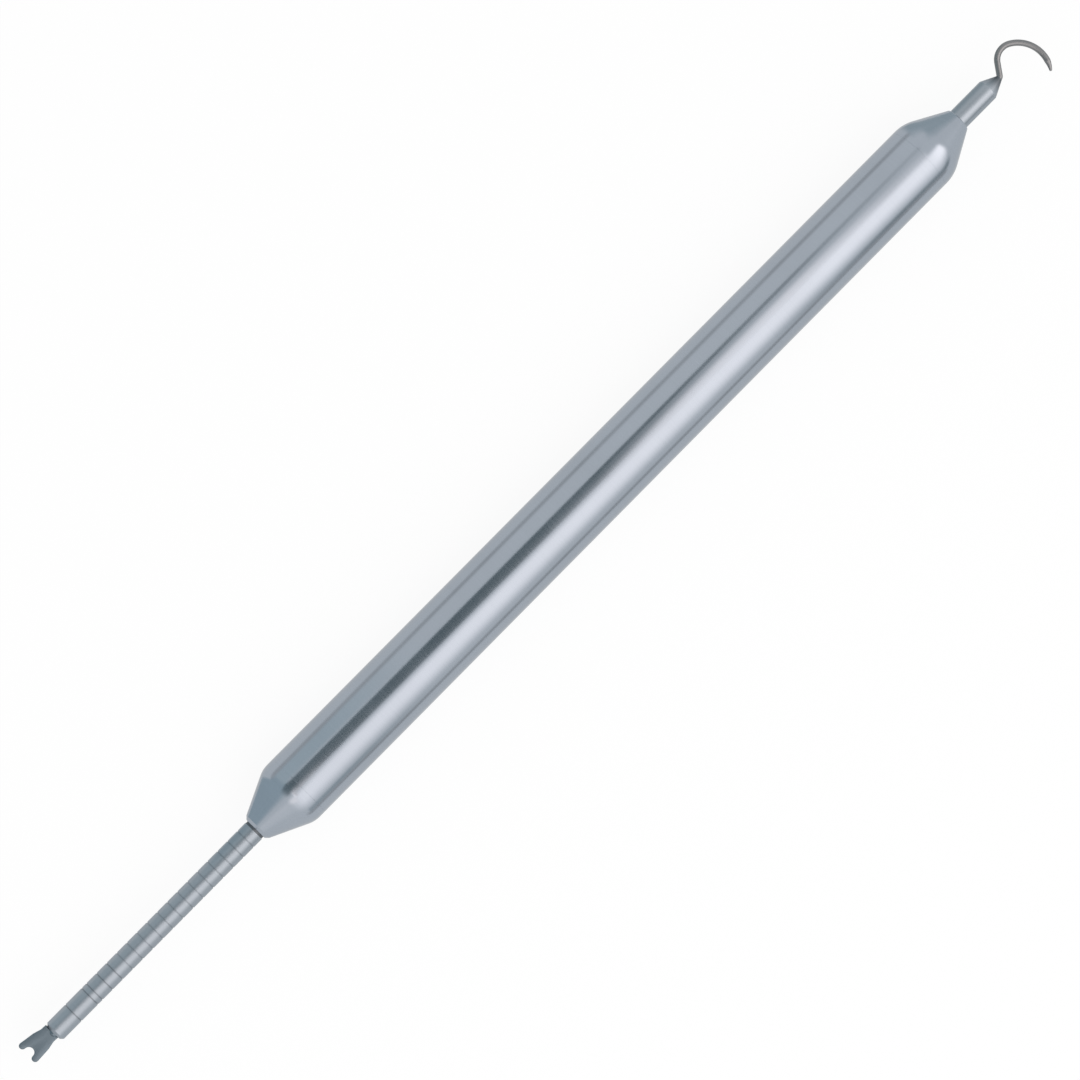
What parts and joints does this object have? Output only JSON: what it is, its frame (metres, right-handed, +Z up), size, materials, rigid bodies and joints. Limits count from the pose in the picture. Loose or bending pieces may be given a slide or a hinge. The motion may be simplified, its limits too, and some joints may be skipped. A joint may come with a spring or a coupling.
{
  "type": "orthodontic force gauge",
  "caption": "Pencil-shaped spring force gauge for dental work: a ringed stem slides through a polished barrel, with a notched pushing tip at one end and a wire pulling hook at the other.",
  "frame": {"origin": "centre of the part's box at the height of its lowest line, the underside of the barrel", "axes": "+X along the barrel towards the hook, +Z up, the hook and the fork lie flat in the XY plane at the height of the barrel's axis"},
  "size_m": [0.1556, 0.008, 0.008],
  "materials": {
    "barrel_steel": "fine satin polish",
    "stem_steel": "drawn and polished, ring grooves dark",
    "hook_steel": "polished spring wire",
    "fork_steel": "dark satin",
    "spring_steel": "drawn wire",
    "washer_steel": "ground",
    "bush_bronze": "turned",
    "nut_brass": "turned",
    "buffer_ptfe": "waxy white"
  },
  "bodies": {
    "barrel": {"barrel_tube": "barrel_steel", "fork_end_cap": "barrel_steel", "hook_end_cap": "barrel_steel", "fork_guide_bush": "bush_bronze", "hook_guide_bush": "bush_bronze", "return_buffer": "buffer_ptfe", "return_spring": "spring_steel", "spring_washer": "washer_steel", "calibration_nut": "nut_brass", "lock_nut": "nut_brass"},
    "seat": {"spring_seat": "nut_brass", "thrust_washer": "washer_steel"},
    "stem": {"stem": "stem_steel", "seat_clip": "spring_steel", "travel_clip": "spring_steel", "hook_holder": "stem_steel", "hook_wire": "hook_steel", "fork_tip": "fork_steel"}
  },
  "joints": [
    {"name": "stem_slide", "type": "slide", "parent": "barrel", "child": "seat", "axis": [1, 0, 0], "range_m": [0, 0.02598], "stiffness_N_per_m": 185, "springref_m": -0.0005, "deforming": ["return_spring"]},
    {"name": "stem_swivel", "type": "hinge", "parent": "seat", "child": "stem", "pos_m": [-0.03004, 0, 0.004], "axis": [1, 0, 0], "continuous": true}
  ]
}
